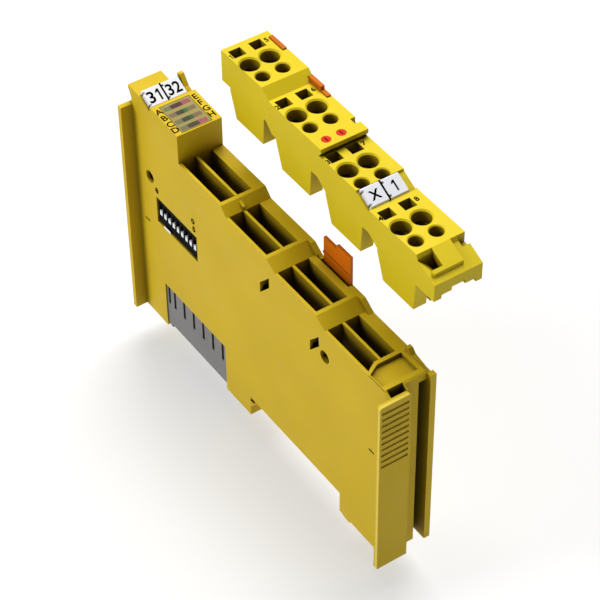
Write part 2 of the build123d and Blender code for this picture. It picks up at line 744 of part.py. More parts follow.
def make_bus_block():
    """Grey block in the notch, slotted towards the neighbouring module."""
    y = span(NOTCH_Y[0] + CLEAR, NOTCH_Y[1] - CLEAR)
    block_body = block(span(SIDE_WALL + CLEAR, BUS_DEEP), y, span(BUS_BOTTOM, BUS_TOP))
    block_body += block(span(BUS_FACE, SIDE_WALL + CLEAR), y, span(BUS_BOTTOM, NOTCH_TOP - CLEAR))
    foot_y = span(BUS_FOOT - BUS_FOOT_WIDTH / 2, BUS_FOOT + BUS_FOOT_WIDTH / 2)
    block_body += block(span(BUS_FACE, BUS_DEEP), foot_y, span(BUS_BOTTOM - BUS_FOOT_DROP, BUS_BOTTOM))
    for number in range(BUS_SLOTS):
        block_body -= bus_slot(bus_slot_y(number))
    return block_body - bus_slot(BUS_EDGE_SLOT)


def bus_slot_y(number):
    return BUS_SLOT_FIRST - number * BUS_SLOT_PITCH


def bus_slot(y):
    width = span(y - BUS_SLOT_WIDTH / 2, y + BUS_SLOT_WIDTH / 2)
    return block(span(BUS_FACE, BUS_FACE + BUS_SLOT_DEPTH), width, span(BUS_SLOT_LOW, BUS_SLOT_HIGH))


def make_bus_contacts():
    """One spring contact at the back of each slot."""
    contacts = Part()
    back = BUS_FACE + BUS_SLOT_DEPTH
    for number in range(BUS_SLOTS):
        y = bus_slot_y(number)
        width = span(y - CONTACT_THICK / 2, y + CONTACT_THICK / 2)
        contacts += block(span(back / 2, back), width, span(BUS_SLOT_LOW + SKIN, BUS_SLOT_HIGH - SKIN))
    return contacts


def make_board():
    board = block(BOARD_X, BOARD_Y, BOARD_Z)
    top = lamp_board_top() - LAMP_BOARD
    board += block(BOARD_X, BOARD_HEAD_Y, span(BOARD_Z[1], top))
    return board


def make_board_parts():
    """The larger parts on the near face of the board."""
    parts = Part()
    for y, z, size, height in PARTS_SIZE:
        x = span(BOARD_X[0] - height, BOARD_X[0])
        parts += block(x, span(y - size / 2, y + size / 2), span(z - size / 2, z + size / 2))
    return parts


def make_side_contact(number):
    """The contact at the bottom of a slanted slot."""
    slot = side_slot(number, HOLE_DEPTH)
    edge = deck_end(number + 1) + POCKET_FRONT_WALL
    solid = block(span(SIDE_CONTACT, HOLE_DEPTH), span(edge - 2 * SKIN, edge - CLEAR), span(0.0, DECK_TOP))
    return slot & solid


def make_socket_contacts():
    """One blade on the floor of each pocket."""
    blades = Part()
    for level in range(LEVELS):
        y = WIRE_HOLE_Y - level_shift(level)
        floor = deck_z(level) - POCKET_DEPTH
        for x in HOLE_COLUMNS:
            along_x = span(x - BLADE[0] / 2, x + BLADE[0] / 2)
            blades += block(along_x, span(y - BLADE[1] / 2, y + BLADE[1] / 2), span(floor, floor + BLADE[2]))
    return blades


def make_release_tab():
    """Orange tab above the rim, with the strip that runs down inside."""
    outline = [
        (TAB_Y[0], TAB_JOG[0]),
        (TAB_Y[0], TAB_HIGH_TOP),
        (TAB_STEP, TAB_HIGH_TOP),
        (TAB_STEP, TAB_LOW_TOP),
        (TAB_Y[1], TAB_LOW_TOP),
        (TAB_Y[1], TAB_JOG[0]),
    ]
    tab = profile(TAB_X, outline)
    tab += block(span(TAB_X[0] - TAB_RIB_SIZE / 2, TAB_X[0]), TAB_Y, span(TAB_RIB - TAB_RIB_SIZE, TAB_RIB))
    tab += block(span(STRIP_X[0], TAB_X[1]), STRIP_Y, TAB_JOG)
    under = ROD_Z[1] + CLEAR
    strip = [
        (STRIP_Y[0], TAB_JOG[1]),
        (STRIP_Y[1], TAB_JOG[1]),
        (STRIP_Y[1], ROD_Z[0]),
        (WEDGE, ROD_Z[0]),
        (WEDGE + under - ROD_Z[0], under),
        (STRIP_Y[0], under),
    ]
    return tab + profile(STRIP_X, strip)


def make_latch():
    """Foot under the rail's lip, with an arm that reaches up into the module."""
    outline = [
        (LATCH_BACK, LATCH_TOP),
        (LATCH_TIP, LATCH_TOP),
        (LATCH_TIP - LATCH_NOSE / 2, LATCH_TOP - LATCH_NOSE),
        (RAIL_MIDDLE - RAIL_WIDTH / 2, LATCH_TOP - 2 * LATCH_NOSE),
        (LATCH_BACK + 2 * LATCH_NOSE, LATCH_BOTTOM),
        (LATCH_BACK, LATCH_BOTTOM),
    ]
    latch = profile(LATCH_X, outline)
    arm = span(LATCH_BACK, LATCH_BACK + LATCH_ARM)
    latch += block(LATCH_X, arm, span(LATCH_TOP, LATCH_ARM_TOP))
    latch += block(span(LATCH_X[1], STRIP_X[1]), arm, ROD_Z)
    tip = WEDGE - 2 * CLEAR
    rod = [
        (LATCH_BACK, ROD_Z[0]),
        (tip, ROD_Z[0]),
        (tip + ROD_Z[1] - ROD_Z[0], ROD_Z[1]),
        (LATCH_BACK, ROD_Z[1]),
    ]
    return latch + profile(STRIP_X, rod)


def plug_top(level):
    return deck_z(level) + PLUG_GAP + PLUG_RISE


def plug_under(level):
    return deck_z(level) + PLUG_GAP


def plug_outline():
    """Side view of the connector without its feet, from the rear bottom corner round."""
    ends = PLUG_LEVEL_END
    starts = PLUG_LEVEL_START
    points = [
        (PLUG_REAR, plug_under(0)),
        (PLUG_REAR, plug_top(0)),
        (ends[0], plug_top(0)),
        (starts[0], plug_top(1)),
        (ends[1], plug_top(1)),
        (ends[1], plug_top(1) - LIP_THICK),
        (ends[1] + LIP_OVERHANG, plug_top(2)),
        (ends[2], plug_top(2)),
        (starts[2], plug_top(3)),
        (ends[3], plug_top(3)),
        END_SLOPE_TOP,
        END_SLOPE_LOW,
        (PLUG_FRONT, plug_under(LEVELS - 1)),
    ]
    for level in range(LEVELS - 1, 0, -1):
        delay = FIN_RUN if level > 1 else 0.0
        points.append((deck_start(level) - delay - PLUG_GAP, plug_under(level)))
        points.append((deck_end(level - 1) - delay - PLUG_GAP, plug_under(level - 1)))
    return points


def plug_foot(level, x):
    """One tapering foot below a level."""
    shift = level_shift(level)
    top = plug_under(level)
    low = top - FOOT_DEPTH
    outline = [
        (FOOT_REAR_TOP - shift, top + SKIN),
        (FOOT_REAR_TOP - shift, top - FOOT_DEPTH / 4),
        (FOOT_REAR_LOW - shift, low),
        (FOOT_FRONT_LOW - shift, low),
        (FOOT_FRONT_TOP - shift, top),
        (FOOT_FRONT_TOP - shift, top + SKIN),
    ]
    return profile(span(x[0] + FOOT_GAP, x[1] - FOOT_GAP), outline)


def flared_hole(x, y, top, radius, flare, depth):
    """A round hole with a chamfered mouth."""
    mouth = Pos(x, y, top - flare / 2) * Cone(radius, radius + flare, flare)
    return drill(x, y, top, radius, depth) + mouth


def chamber(level, x):
    """Room for one clamp spring and its bar, below the holes of one terminal."""
    y = WIRE_HOLE_Y - level_shift(level)
    along_y = span(y - WIRE_HOLE_RADIUS, y + TOOL_SHIFT + TOOL_HOLE[1] / 2)
    z = span(plug_under(level) + CHAMBER_FLOOR, plug_top(level) - HOLE_FLOOR)
    return block(span(x - CHAMBER_HALF, x + CHAMBER_HALF), along_y, z)


def terminal_cuts(level, x):
    """Everything that one terminal cuts out of the connector."""
    y = WIRE_HOLE_Y - level_shift(level)
    top = plug_top(level)
    cuts = flared_hole(x, y, top, WIRE_HOLE_RADIUS, WIRE_HOLE_CHAMFER, HOLE_FLOOR)
    cuts += flared_hole(x, y + TEST_HOLE_SHIFT, top, TEST_HOLE_RADIUS, TEST_HOLE_CHAMFER, TEST_HOLE_DEPTH)
    half_x = TOOL_HOLE[0] / 2
    half_y = TOOL_HOLE[1] / 2
    tool_y = y + TOOL_SHIFT
    tool = span(tool_y - half_y, tool_y + half_y)
    cuts += block(span(x - half_x, x + half_x), tool, span(top - HOLE_FLOOR, top))
    cuts += chamber(level, x)
    slot_x = span(x - BLADE_SLOT[0] / 2, x + BLADE_SLOT[0] / 2)
    slot_y = span(y - BLADE_SLOT[1] / 2, y + BLADE_SLOT[1] / 2)
    low = plug_under(level) - FOOT_DEPTH
    return cuts + block(slot_x, slot_y, span(low, plug_under(level) + CHAMBER_FLOOR))


def plug_strip_outline(extra, lift):
    """Side view of the orange strip: two uprights joined by a bar; extra and lift make its recess."""
    bar_top = plug_top(1) - PLUG_STRIP_BRIDGE + lift
    return [
        (PLUG_STRIP_Y[1] + extra, PLUG_STRIP_LOW - extra),
        (PLUG_STRIP_Y[1] + extra, plug_top(0) + extra),
        (PLUG_STRIP_HIGH_PART - extra, plug_top(0) + extra),
        (PLUG_STRIP_HIGH_PART - extra, bar_top + extra),
        (PLUG_STRIP_LOW_PART + extra, bar_top + extra),
        (PLUG_STRIP_LOW_PART + extra, plug_top(0) + extra if lift else plug_top(1)),
        (PLUG_STRIP_Y[0] - extra, plug_top(0) + extra if lift else plug_top(1)),
        (PLUG_STRIP_Y[0] - extra, PLUG_STRIP_LOW - extra),
    ]


def make_plug_strip():
    strip = profile(PLUG_STRIP_X, plug_strip_outline(0.0, 0.0))
    top = plug_top(1)
    low_y = span(PLUG_STRIP_Y[0], PLUG_STRIP_LOW_PART)
    low_lip = block(PLUG_STRIP_X, low_y, span(top, top + PLUG_STRIP_SHOW))
    step = block(PLUG_STRIP_X, PLUG_STRIP_STEP, span(top, top + PLUG_STRIP_RAISE))
    high_lip = block(PLUG_STRIP_X, span(PLUG_STRIP_HIGH_PART, PLUG_STRIP_Y[1]),
                     span(plug_top(0), plug_top(0) + PLUG_STRIP_SHOW))
    return strip + low_lip + step + high_lip


def strap_points(low, high, lift):
    """A band that follows the sloping end between two places, lifted above it."""
    slope = (END_SLOPE_TOP[1] - END_SLOPE_LOW[1]) / (END_SLOPE_TOP[0] - END_SLOPE_LOW[0])
    z_low = END_SLOPE_LOW[1] + slope * (low - END_SLOPE_LOW[0])
    z_high = END_SLOPE_LOW[1] + slope * (high - END_SLOPE_LOW[0])
    return [(low, z_low - lift), (low, z_low + lift), (high, z_high + lift), (high, z_high - lift)]


def make_plug():
    plug = profile(span(0.0, PLUG_WIDTH), plug_outline())
    for level in range(LEVELS):
        plug += plug_foot(level, POCKET_LEFT)
        plug += plug_foot(level, POCKET_RIGHT)
    for level in range(LEVELS):
        for x in HOLE_COLUMNS:
            plug -= terminal_cuts(level, x)

    # Room for the module's release tab, the end fin and the orange strip
    tab_y = span(TAB_Y[0] - 2 * TAB_SLOT_GAP, TAB_Y[1] + 2 * TAB_SLOT_GAP)
    plug -= block(span(TAB_X[0] - TAB_SLOT_GAP, PLUG_WIDTH), tab_y, span(BOTTOM, TAB_HIGH_TOP + CLEAR))
    last = deck_z(LEVELS - 1)
    fin_y = span(END_FIN[0] - 2 * CLEAR, END_FIN[1] + 2 * CLEAR)
    plug -= block(span(SHELL - 2 * CLEAR, PLUG_WIDTH), fin_y, span(last, last + END_FIN_HEIGHT + 2 * CLEAR))
    plug -= profile(span(PLUG_STRIP_X[0] - CLEAR, PLUG_WIDTH), plug_strip_outline(CLEAR, PLUG_STRIP_TRAVEL))

    # The end: chute below the strap, corner notch and the stepped lower edge
    chute = [
        (0.0, CHUTE_NEAR),
        (STRAP_OPENING_X, CHUTE_DEEP),
        (CHUTE_FAR, CHUTE_DEEP),
        (CHUTE_FAR, plug_top(0)),
        (0.0, plug_top(0)),
    ]
    plug -= along(STRAP_OPENING_Y, chute)
    strap = strap_points(STRAP_FRONT, PLUG_LEVEL_END[-1], STRAP_THICK)
    plug += profile(span(STRAP_OPENING_X, STRAP_X[1]), strap)
    plug += profile(STRAP_X, strap_points(STRAP_FRONT, STRAP_OPENING_Y[0], STRAP_THICK))
    plug -= block(END_NOTCH_X, END_NOTCH_Y, span(END_NOTCH_FLOOR, plug_top(0)))
    under = plug_under(LEVELS - 1)
    end_y = span(PLUG_FRONT, PLUG_FRONT + END_CUT_LENGTH)
    plug -= block(END_CUT_WIDE, end_y, span(under, under + END_CUT_STEP))
    plug -= block(END_CUT_DEEP, end_y, span(under, under + 2 * END_CUT_STEP))

    # Seats of the keys and of the tags, notch in the far edge
    for x in KEY_X:
        plug -= drill(x, KEY_Y, plug_top(1), KEY_RADIUS + KEY_CLEAR, KEY_DEPTH)
    plug -= tag_seat(span(0.0, PLUG_WIDTH), PLUG_TAG_FRONT, PLUG_TAG_TILT, 0.0)
    notch_x = span(PLUG_WIDTH - EDGE_NOTCH, PLUG_WIDTH)
    plug -= block(notch_x, EDGE_NOTCH_Y, span(plug_top(1) - EDGE_NOTCH, plug_top(1)))
    return plug


def make_key(x):
    """A round key with a groove for the tool."""
    key = drill(x, KEY_Y, plug_top(1), KEY_RADIUS, KEY_DEPTH - CLEAR)
    groove_x = span(x - KEY_SLOT[0] / 2, x + KEY_SLOT[0] / 2)
    groove_y = span(KEY_Y - KEY_SLOT[1] / 2, KEY_Y + KEY_SLOT[1] / 2)
    groove = block(groove_x, groove_y, span(plug_top(1) - KEY_SLOT[0], plug_top(1)))
    return key - groove


def make_current_bars():
    """One bar on the floor of each chamber."""
    bars = Part()
    for level in range(LEVELS):
        y = WIRE_HOLE_Y - level_shift(level) - WIRE_HOLE_RADIUS
        z = plug_under(level) + CHAMBER_FLOOR
        for x in HOLE_COLUMNS:
            half = SPRING_WIDTH / 2
            bars += block(span(x - half, x + half), span(y, y + BAR_LENGTH), span(z, z + BAR_THICK))
    return bars


def make_clamp_springs():
    """One bent leaf spring in each chamber, standing on the bar."""
    springs = Part()
    for level in range(LEVELS):
        y = WIRE_HOLE_Y - level_shift(level)
        low = plug_under(level) + CHAMBER_FLOOR + BAR_THICK
        high = plug_top(level) - HOLE_FLOOR - CLEAR
        back = y + TOOL_SHIFT
        front = y - WIRE_HOLE_RADIUS + SKIN
        thick = SPRING_THICK
        outline = [
            (front, low),
            (back, low),
            (back + SKIN, (low + high) / 2),
            (back, high),
            (y, high - SKIN),
            (y, high - SKIN - thick),
            (back - thick, high - thick),
            (back + SKIN - thick, (low + high) / 2),
            (back - thick, low + thick),
            (front, low + thick),
        ]
        for x in HOLE_COLUMNS:
            springs += profile(span(x - SPRING_WIDTH / 2, x + SPRING_WIDTH / 2), outline)
    return springs


def tag_x(first, number):
    return first + number * (TAG_WIDTH + TAG_GAP)


module = {
    "module_housing": make_housing(),
    "far_side_cover": make_cover(),
    "led_window": make_window(),
    "status_leds": make_lamps(),
    "circuit_board": make_board(),
    "board_components": make_board_parts(),
    "dip_switch_body": make_switch(),
    "bus_contact_carrier": make_bus_block(),
    "bus_contacts": make_bus_contacts(),
    "side_contact_1": make_side_contact(0),
    "side_contact_2": make_side_contact(1),
    "socket_contacts": make_socket_contacts(),
    "release_tab": make_release_tab(),
    "rail_latch": make_latch(),
    "marker_tag_left": marker_tag(tag_x(HEAD_TAG_X, 0), HEAD_TAG_FRONT, HEAD_TAG_TILT),
    "marker_tag_right": marker_tag(tag_x(HEAD_TAG_X, 1), HEAD_TAG_FRONT, HEAD_TAG_TILT),
}
for number in range(SLIDERS):
    module[f"dip_slider_{number + 1}"] = make_slider(number)
for number, letter in enumerate(LENS_NAMES):
    field = LENS_COLUMNS[number // len(LENS_ROWS)]
    module[f"led_lens_{letter}"] = lens(LENS_ROWS[number % len(LENS_ROWS)], field)

connector = {
    "connector_housing": make_plug(),
    "connector_strip": make_plug_strip(),
    "coding_key_left": make_key(KEY_X[0]),
    "coding_key_right": make_key(KEY_X[1]),
    "current_bars": make_current_bars(),
    "clamp_springs": make_clamp_springs(),
    "connector_tag_left": marker_tag(tag_x(PLUG_TAG_X, 0), PLUG_TAG_FRONT, PLUG_TAG_TILT),
    "connector_tag_right": marker_tag(tag_x(PLUG_TAG_X, 1), PLUG_TAG_FRONT, PLUG_TAG_TILT),
}

ORIGIN = Pos(-WIDTH / 2, -RAIL_MIDDLE, 0.0)
os.makedirs("parts", exist_ok=True)
for name, piece in module.items():
    export_step(ORIGIN * piece, f"parts/{name}.step")
for name, piece in connector.items():
    export_step(ORIGIN * Pos(*LIFT) * piece, f"parts/{name}.step")
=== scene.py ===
"""Looks for the safety input module: materials, print, floor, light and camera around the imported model."""
import math

import bpy
from mathutils import Matrix, Vector


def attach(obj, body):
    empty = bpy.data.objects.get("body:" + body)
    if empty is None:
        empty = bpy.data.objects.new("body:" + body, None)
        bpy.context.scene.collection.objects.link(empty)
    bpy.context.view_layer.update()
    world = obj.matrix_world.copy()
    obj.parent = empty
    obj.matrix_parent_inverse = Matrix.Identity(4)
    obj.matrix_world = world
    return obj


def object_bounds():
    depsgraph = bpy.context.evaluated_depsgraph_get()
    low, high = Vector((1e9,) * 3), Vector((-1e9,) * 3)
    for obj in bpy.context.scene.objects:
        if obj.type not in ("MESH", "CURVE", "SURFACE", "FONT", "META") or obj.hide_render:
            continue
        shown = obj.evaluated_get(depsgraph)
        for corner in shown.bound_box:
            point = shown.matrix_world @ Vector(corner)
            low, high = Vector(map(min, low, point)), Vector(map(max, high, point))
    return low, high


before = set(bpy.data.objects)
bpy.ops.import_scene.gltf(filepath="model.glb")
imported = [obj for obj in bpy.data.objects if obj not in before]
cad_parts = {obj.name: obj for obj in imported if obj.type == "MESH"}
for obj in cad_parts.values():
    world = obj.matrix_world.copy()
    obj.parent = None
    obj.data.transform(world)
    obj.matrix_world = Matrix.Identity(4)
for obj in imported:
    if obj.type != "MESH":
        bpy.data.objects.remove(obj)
cad_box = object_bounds()
MM = 0.001

# The frame's origin, measured from the near side face, the grip end and the top of the rail
ORIGIN = Vector((5.8, 35.83, 0.0))
# From the connector's plugged-in place to the place where it rests
LIFT = Vector((12.0, 0.0, 17.8))

# The photograph's camera in the same measures, its angles in degrees
CAMERA_PLACE = Vector((-188.629, -248.468, 372.149))
CAMERA_AZIMUTH = -33.855
CAMERA_ELEVATION = 43.849
CAMERA_ROLL = -0.738
LENS_MM = 135.75
SENSOR_MM = 36.0
CLIP_NEAR = 0.01
CLIP_FAR = 20.0


def place(x, y, z):
    """A measured point in the frame, in metres."""
    return (Vector((x, y, z)) - ORIGIN) * MM


def plug_place(x, y, z):
    """A point measured on the plugged-in connector, where the lifted one has it."""
    return (Vector((x, y, z)) + LIFT - ORIGIN) * MM


def band(middle, half):
    """The two ends of a stretch around its middle."""
    return middle - half, middle + half


def rectangle(point, first, second):
    """Four corners: point is called with one value of first and one of second."""
    return [point(first[0], second[0]), point(first[1], second[0]),
            point(first[1], second[1]), point(first[0], second[1])]


# Materials

# The middle range of a noise, from which tones and roughness are spread
NOISE_LOW = 0.3
NOISE_HIGH = 0.7


class Nodes:
    """A small builder for one material's node tree."""

    def __init__(self, name):
        self.material = bpy.data.materials.new(name)
        self.material.use_nodes = True
        self.tree = self.material.node_tree
        self.shader = self.tree.nodes["Principled BSDF"]
        self.coords = self.tree.nodes.new("ShaderNodeTexCoord")

    def node(self, kind, **settings):
        made = self.tree.nodes.new(kind)
        for key, value in settings.items():
            setattr(made, key, value)
        return made

    def feed(self, target, **values):
        """Links or sets a node's inputs by name."""
        for key, value in values.items():
            self.put(target.inputs[key], value)

    def put(self, socket, value):
        """Links one input to another node's output, or gives it a constant."""
        if isinstance(value, bpy.types.NodeSocket):
            self.tree.links.new(value, socket)
        else:
            socket.default_value = value

    def shade(self, key, value):
        """Links or sets one input of the material's shader."""
        self.put(self.shader.inputs[key], value)

    def axis(self, letter):
        """One of the piece's own coordinates, in metres."""
        axes = self.node("ShaderNodeSeparateXYZ")
        self.feed(axes, Vector=self.coords.outputs["Object"])
        return axes.outputs[letter]

    def noise(self, scale, detail, roughness=0.5, stretch=(1.0, 1.0, 1.0)):
        """Noise in the piece's own coordinates; scale is in cells per metre."""
        mapping = self.node("ShaderNodeMapping")
        self.feed(mapping, Scale=stretch, Vector=self.coords.outputs["Object"])
        made = self.node("ShaderNodeTexNoise")
        self.feed(made, Scale=scale, Detail=detail, Roughness=roughness, Vector=mapping.outputs["Vector"])
        return made.outputs["Fac"]

    def ramp(self, source, stops):
        made = self.node("ShaderNodeValToRGB")
        elements = made.color_ramp.elements
        while len(elements) < len(stops):
            elements.new(0.5)
        for element, (position, colour) in zip(elements, stops):
            element.position = position
            element.color = (*colour, 1.0)
        self.feed(made, Fac=source)
        return made.outputs["Color"]

    def tint(self, noise, dark, light):
        """Two tones, spread over the noise's middle range."""
        return self.ramp(noise, [(NOISE_LOW, dark), (NOISE_HIGH, light)])

    def span(self, source, low, high, target_low, target_high):
        """A value carried from one range to another, and held at its ends."""
        made = self.node("ShaderNodeMapRange")
        limits = {"From Min": low, "From Max": high, "To Min": target_low, "To Max": target_high}
        self.feed(made, Value=source, **limits)
        return made.outputs["Result"]

    def spread(self, noise, low, high):
        """A value between low and high, spread over the noise's middle range."""
        return self.span(noise, NOISE_LOW, NOISE_HIGH, low, high)

    def mix(self, factor, first, second, blend="MIX"):
        made = self.node("ShaderNodeMix", data_type="RGBA", blend_type=blend)
        self.feed(made, Factor=factor, A=first, B=second)
        return made.outputs["Result"]

    def bump(self, height, strength, distance):
        made = self.node("ShaderNodeBump")
        self.feed(made, Strength=strength, Distance=distance, Height=height)
        return made.outputs["Normal"]


CLOUD_SCALE = 60.0
SMEAR_SCALE = 180.0
SMEAR_STRETCH = (1.0, 0.4, 1.0)
SMEAR_BELOW = 0.06
SMEAR_ABOVE = 0.08
GRAIN_SCALE = 5200.0
GRAIN_DEPTH = 0.02 * MM
PLASTIC_IOR = 1.5
COAT_ROUGHNESS = 0.3
# How far a hollow's walls reach for the painted shade, and the range of openness over which it is painted
HOLLOW_SHADE_REACH = 8.0 * MM
HOLLOW_SHADE_SAMPLES = 8
HOLLOW_SHADE_RANGE = (0.2, 0.8)
# The grip ribs' grooves, as depths behind the grip's face, and the painted light that lifts their shade
RIB_FACE = 0.05
RIB_DEEP = 0.7
RIB_FADE = 0.1
RIB_GROOVE_LIGHT = (0.72, 0.57, 0.08)


def plastic(name, colour, rough, grain, shift, coat=0.0, hollow_shade=None, gloss=0.5, lit_rib_grooves=False):
    """Moulded plastic: slight cloudiness of colour, uneven gloss and a fine spark-eroded grain, with optional
    painted shade in hollows and painted light in the grip ribs' grooves.
    """
    made = Nodes(name)
    dark = tuple(c * (1.0 - shift) for c in colour)
    light = tuple(min(1.0, c * (1.0 + shift)) for c in colour)
    body = made.tint(made.noise(CLOUD_SCALE, 4.0), dark, light)
    if hollow_shade:
        # Painted shade: narrow pockets and holes are painted darker than the open faces, where their walls
        # shade them
        hollow = made.node("ShaderNodeAmbientOcclusion", samples=HOLLOW_SHADE_SAMPLES)
        made.feed(hollow, Distance=HOLLOW_SHADE_REACH)
        body = made.mix(made.span(hollow.outputs["AO"], *HOLLOW_SHADE_RANGE, 0.0, 1.0), (*hollow_shade, 1.0), body)
    if lit_rib_grooves:
        # Painted light: the grooves between the grip ribs are painted lighter, to lift the shade that falls
        # in them
        along = made.axis("Y")
        groove_light_mask = made.node("ShaderNodeMath", operation="MULTIPLY")
        for socket, start, low, high in ((0, RIB_FACE, 0.0, 1.0), (1, RIB_DEEP, 1.0, 0.0)):
            end = start + RIB_FADE
            edge = made.span(along, (start - ORIGIN.y) * MM, (end - ORIGIN.y) * MM, low, high)
            made.put(groove_light_mask.inputs[socket], edge)
        body = made.mix(groove_light_mask.outputs["Value"], body, (*RIB_GROOVE_LIGHT, 1.0))
    made.shade("Base Color", body)
    smear = made.noise(SMEAR_SCALE, 5.0, 0.6, SMEAR_STRETCH)
    made.shade("Roughness", made.spread(smear, rough - SMEAR_BELOW, rough + SMEAR_ABOVE))
    made.shade("Normal", made.bump(made.noise(GRAIN_SCALE, 2.0), grain, GRAIN_DEPTH))
    made.shade("IOR", PLASTIC_IOR)
    made.shade("Specular IOR Level", gloss)
    made.shade("Coat Weight", coat)
    made.shade("Coat Roughness", COAT_ROUGHNESS)
    return made.material


# The window's fields, along X, and the stretches of their four tones as shares of that length
FIELD_X = (1.9, 8.9)
FIELD_REACH = ((0.0, 0.25), (0.31, 0.53), (0.58, 0.66), (0.70, 1.0))
FIELD_SCALE = 2500.0


def field(name, tones):
    """A field of the window along X: a pale end, a dark middle, a spot and a coloured end."""
    made = Nodes(name)
    low, high = ((x - ORIGIN.x) * MM for x in FIELD_X)
    share = made.span(made.axis("X"), low, high, 0.0, 1.0)
    stops = [(at, tone) for reach, tone in zip(FIELD_REACH, tones) for at in reach]
    grain = made.noise(FIELD_SCALE, 3.0)
    speckle = made.tint(grain, (0.75, 0.75, 0.75), (1.0, 1.0, 1.0))
    made.shade("Base Color", made.mix(1.0, made.ramp(share, stops), speckle, "MULTIPLY"))
    made.shade("Roughness", made.spread(grain, 0.25, 0.4))
    made.shade("Specular IOR Level", 0.1)
    return made.material


LINE_SCALE = 900.0
LINE_STRETCH = (1.0, 0.06, 1.0)
LINE_TONE = 0.82
LINE_DEPTH = 0.01 * MM


def metal(name, colour, rough):
    """Drawn and plated metal with fine lines along the piece."""
    made = Nodes(name)
    lines = made.noise(LINE_SCALE, 4.0, 0.6, LINE_STRETCH)
    made.shade("Base Color", made.tint(lines, tuple(c * LINE_TONE for c in colour), colour))
    made.shade("Roughness", made.spread(lines, rough - 0.05, rough + 0.1))
    made.shade("Normal", made.bump(lines, 0.15, LINE_DEPTH))
    made.shade("Metallic", 1.0)
    return made.material


# Each plastic's colour, roughness, grain and shift of tone, then what sets it apart, such as the painted
# shade of its hollows
yellow = plastic("moulded_yellow", (0.60, 0.415, 0.009), 0.55, 0.5, 0.045,
                 hollow_shade=(0.12, 0.08, 0.004), gloss=0.14, lit_rib_grooves=True)
lemon = plastic("connector_lemon", (0.66, 0.505, 0.008), 0.5, 0.4, 0.04,
                hollow_shade=(0.20, 0.135, 0.006), gloss=0.14)
black = plastic("switch_black", (0.003, 0.0028, 0.0032), 0.6, 0.3, 0.2, gloss=0.03)
white = plastic("slider_white", (0.82, 0.84, 0.87), 0.4, 0.2, 0.04)
grey = plastic("bus_grey", (0.19, 0.185, 0.185), 0.5, 0.6, 0.06, hollow_shade=(0.03, 0.03, 0.03), gloss=0.3)
orange = plastic("strip_orange", (0.50, 0.128, 0.003), 0.45, 0.5, 0.08, gloss=0.1)
tab_orange = plastic("tab_orange", (0.68, 0.155, 0.003), 0.45, 0.5, 0.08,
                     hollow_shade=(0.10, 0.03, 0.002), gloss=0.1)
red = plastic("key_red", (0.60, 0.022, 0.004), 0.4, 0.3, 0.06, gloss=0.1)
tag_white = plastic("tag_white", (0.74, 0.75, 0.79), 0.33, 0.15, 0.02, coat=0.1, gloss=0.3)
ink = plastic("print_ink", (0.005, 0.0045, 0.004), 0.7, 0.3, 0.15, gloss=0.0)
window_skin = plastic("window_amber", (0.26, 0.215, 0.05), 0.3, 0.2, 0.12, gloss=0.15)
# Four rows of fields, each from its pale end to its coloured end
FIELD_TONES = (
    ((0.15, 0.16, 0.055), (0.07, 0.018, 0.012), (0.075, 0.02, 0.014), (0.31, 0.075, 0.085)),
    ((0.20, 0.12, 0.055), (0.045, 0.038, 0.014), (0.03, 0.13, 0.022), (0.19, 0.125, 0.055)),
    ((0.15, 0.14, 0.055), (0.035, 0.04, 0.016), (0.03, 0.085, 0.022), (0.19, 0.12, 0.055)),
    ((0.14, 0.14, 0.05), (0.055, 0.035, 0.02), (0.06, 0.038, 0.02), (0.33, 0.08, 0.095)),
)
fields = [field(f"field_{row}", tones) for row, tones in enumerate(FIELD_TONES, 1)]
frame_brown = plastic("frame_brown", (0.09, 0.065, 0.012), 0.6, 0.3, 0.15, gloss=0.0)
board_green = plastic("board_green", (0.012, 0.085, 0.03), 0.3, 0.3, 0.15, coat=0.3)
lamp_white = plastic("lamp_white", (0.7, 0.7, 0.66), 0.4, 0.2, 0.04)
brass = metal("contact_brass", (0.83, 0.66, 0.32), 0.3)
steel = metal("spring_steel", (0.52, 0.53, 0.55), 0.35)

PAINT = {
    "module_housing": yellow,
    "far_side_cover": yellow,
    "rail_latch": yellow,
    "connector_housing": lemon,
    "dip_switch_body": black,
    "bus_contact_carrier": grey,
    "release_tab": tab_orange,
    "connector_strip": orange,
    "coding_key_left": red,
    "coding_key_right": red,
    "marker_tag_left": tag_white,
    "marker_tag_right": tag_white,
    "connector_tag_left": tag_white,
    "connector_tag_right": tag_white,
    "led_window": window_skin,
    **{f"led_lens_{letter}": fields[number % len(fields)] for number, letter in enumerate("abcdefgh")},
    **{f"dip_slider_{number}": white for number in range(1, 10)},
    "circuit_board": board_green,
    "board_components": black,
    "status_leds": lamp_white,
    "bus_contacts": brass,
    "side_contact_1": brass,
    "side_contact_2": brass,
    "socket_contacts": brass,
    "current_bars": brass,
    "clamp_springs": steel,
}
SOFT_EDGED = ("module_housing", "far_side_cover", "connector_housing", "release_tab", "rail_latch",
              "bus_contact_carrier", "connector_strip")
SOFT_EDGE = 0.12 * MM
SOFT_EDGE_ANGLE = math.radians(40.0)
for name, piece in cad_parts.items():
    piece.data.materials.clear()
    piece.data.materials.append(PAINT[name])
    if name in SOFT_EDGED:
        edge = piece.modifiers.new("soft_edges", "BEVEL")
        edge.width = SOFT_EDGE
        edge.segments = 2
        edge.limit_method = "ANGLE"
        edge.angle_limit = SOFT_EDGE_ANGLE
        edge.use_clamp_overlap = True
        edge.harden_normals = True

# Print: each mark lies on a face, which is given by its right and its up

PRINT_LIFT = 0.02 * MM
CURVE_STEPS = 4
# The digit one, in shares of its height: its width, its stroke and the top of its flag
ONE_WIDE = 0.34
ONE_STROKE = 0.15
ONE_FLAG = 0.32

ACROSS = Vector((1.0, 0.0, 0.0))
